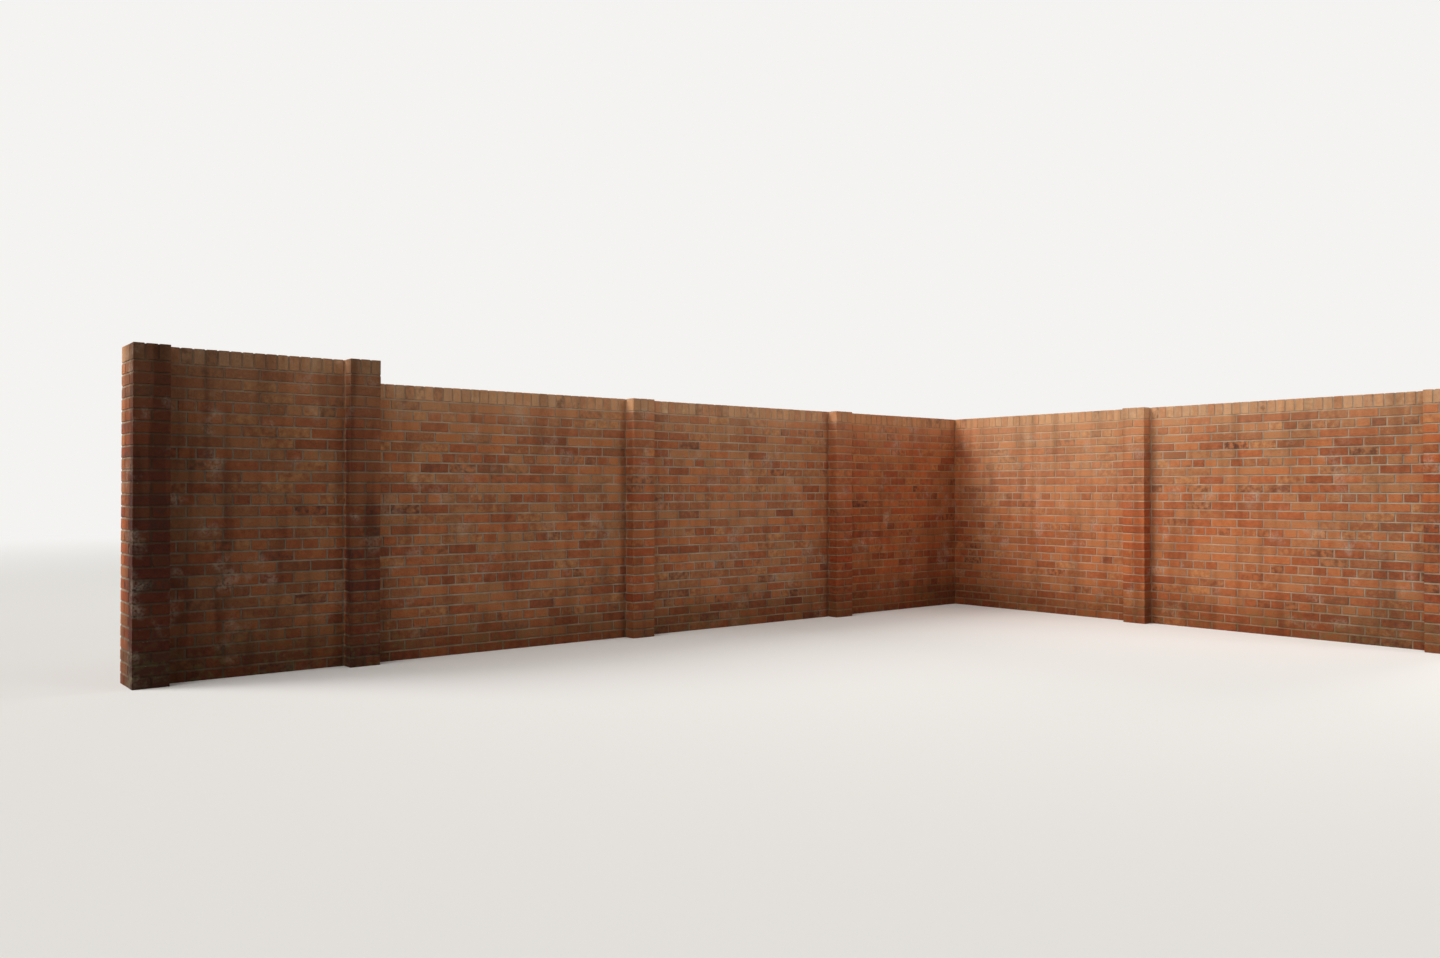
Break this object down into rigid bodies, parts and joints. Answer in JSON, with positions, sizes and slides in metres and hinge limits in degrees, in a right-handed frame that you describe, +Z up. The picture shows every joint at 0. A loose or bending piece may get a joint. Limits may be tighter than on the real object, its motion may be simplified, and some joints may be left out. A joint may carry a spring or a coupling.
{
  "type": "brick garden wall",
  "caption": "Brick garden wall in bays, turning a square corner, with piers on its inner face, a brick-on-edge coping and a raised bay at one end.",
  "frame": {"origin": "on the ground under the crossing of the two runs' centre lines, at the square corner", "axes": "+Z up; the long run leaves the corner along -X and its inner face looks to -Y; the return leaves the corner along -Y and its inner face looks to -X"},
  "size_m": [8.2025, 4.94, 2.1275],
  "materials": {
    "face_brick": "fired clay, matt",
    "pier_brick": "fired clay, matt",
    "base_brick": "fired clay, damp",
    "coping_brick": "fired clay, weathered",
    "mortar": "recessed, rough"
  },
  "bodies": {
    "root": {"corner_base": "base_brick", "corner_face": "face_brick", "corner_coping": "coping_brick", "corner_bay_base": "base_brick", "corner_bay_face": "face_brick", "corner_bay_coping": "coping_brick", "middle_bay_base": "base_brick", "middle_bay_face": "face_brick", "middle_bay_coping": "coping_brick", "step_bay_base": "base_brick", "step_bay_face": "face_brick", "step_bay_coping": "coping_brick", "raised_bay_base": "base_brick", "raised_bay_face": "face_brick", "raised_bay_coping": "coping_brick", "return_bay_base": "base_brick", "return_bay_face": "face_brick", "return_bay_coping": "coping_brick", "end_bay_base": "base_brick", "end_bay_face": "face_brick", "end_bay_coping": "coping_brick", "corner_pier_base": "base_brick", "corner_pier_shaft": "pier_brick", "corner_pier_cap": "coping_brick", "middle_pier_base": "base_brick", "middle_pier_shaft": "pier_brick", "middle_pier_cap": "coping_brick", "step_pier_base": "base_brick", "step_pier_shaft": "pier_brick", "step_pier_cap": "coping_brick", "gable_pier_base": "base_brick", "gable_pier_shaft": "pier_brick", "gable_pier_cap": "coping_brick", "return_pier_base": "base_brick", "return_pier_shaft": "pier_brick", "return_pier_cap": "coping_brick", "end_pier_base": "base_brick", "end_pier_shaft": "pier_brick", "end_pier_cap": "coping_brick"}
  },
  "joints": []
}
